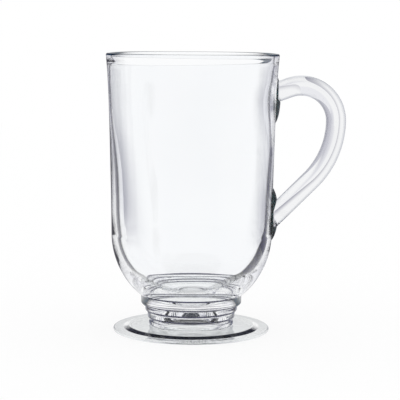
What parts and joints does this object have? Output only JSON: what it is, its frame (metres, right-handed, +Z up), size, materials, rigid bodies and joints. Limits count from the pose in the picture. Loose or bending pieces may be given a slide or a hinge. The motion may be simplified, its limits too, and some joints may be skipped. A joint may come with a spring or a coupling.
{
  "type": "footed glass mug",
  "caption": "Tall clear glass mug with a rounded bowl, a short ringed stem, a thin round foot and a looped side handle on melted pads.",
  "frame": {"origin": "middle of the foot's resting plane, on the bowl's axis", "axes": "+Z up along the bowl's axis towards the lip, +X from the axis out through the middle of the handle"},
  "size_m": [0.1204, 0.0868, 0.14],
  "materials": {
    "bowl_glass": "clear pressed glass, fire polished, glossy",
    "base_glass": "clear pressed glass, glossy, with a faint grey green cast where it is thick",
    "handle_glass": "clear hot-applied glass, glossy, with a faint lilac cast"
  },
  "bodies": {
    "root": {"bowl": "bowl_glass", "stem": "base_glass", "foot": "base_glass", "handle": "handle_glass", "upper_handle_pad": "handle_glass", "lower_handle_pad": "handle_glass"}
  },
  "joints": []
}
